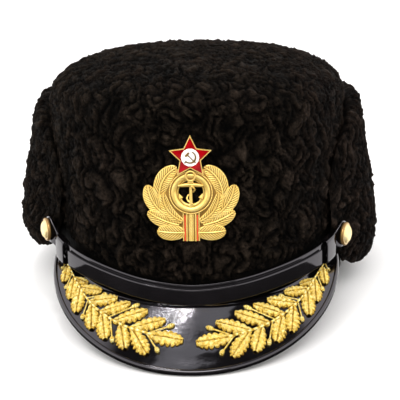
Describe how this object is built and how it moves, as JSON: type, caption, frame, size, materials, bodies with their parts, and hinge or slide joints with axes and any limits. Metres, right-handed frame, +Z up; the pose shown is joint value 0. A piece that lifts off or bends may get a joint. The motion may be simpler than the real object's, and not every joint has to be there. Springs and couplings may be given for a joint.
{
  "type": "naval peaked cap",
  "caption": "Officer's winter cap in black karakul fur with folded ear flap, gold-embroidered patent peak, chin strap, buttons and a gilt anchor badge with a red star.",
  "frame": {"origin": "on the table under the middle of the cap's bounding box", "axes": "-Y to the front of the cap, +Y to its back, +Z up from the table the cap stands on, +X to the right as seen from the front"},
  "size_m": [0.2256, 0.2806, 0.149],
  "materials": {
    "karakul": "tight curled black fur",
    "patent_leather": "black patent gloss",
    "gilt_metal": "polished gilt",
    "gold_thread": "gold bullion thread",
    "red_enamel": "gloss enamel",
    "white_enamel": "gloss enamel",
    "dark_gilt": "darkened gilt"
  },
  "bodies": {
    "root": {"crown": "karakul", "ear_flap": "karakul", "peak": "patent_leather", "peak_edge": "patent_leather", "strap_inner": "patent_leather", "strap_outer": "patent_leather", "keeper_left": "patent_leather", "keeper_right": "patent_leather", "button_left": "gilt_metal", "button_right": "gilt_metal", "oak_spray_left": "gold_thread", "oak_spray_right": "gold_thread", "badge_wreath": "gilt_metal", "badge_star": "gilt_metal", "star_enamel": "red_enamel", "star_roundel": "white_enamel", "star_emblem": "dark_gilt", "stripe_left": "red_enamel", "stripe_right": "red_enamel"}
  },
  "joints": []
}
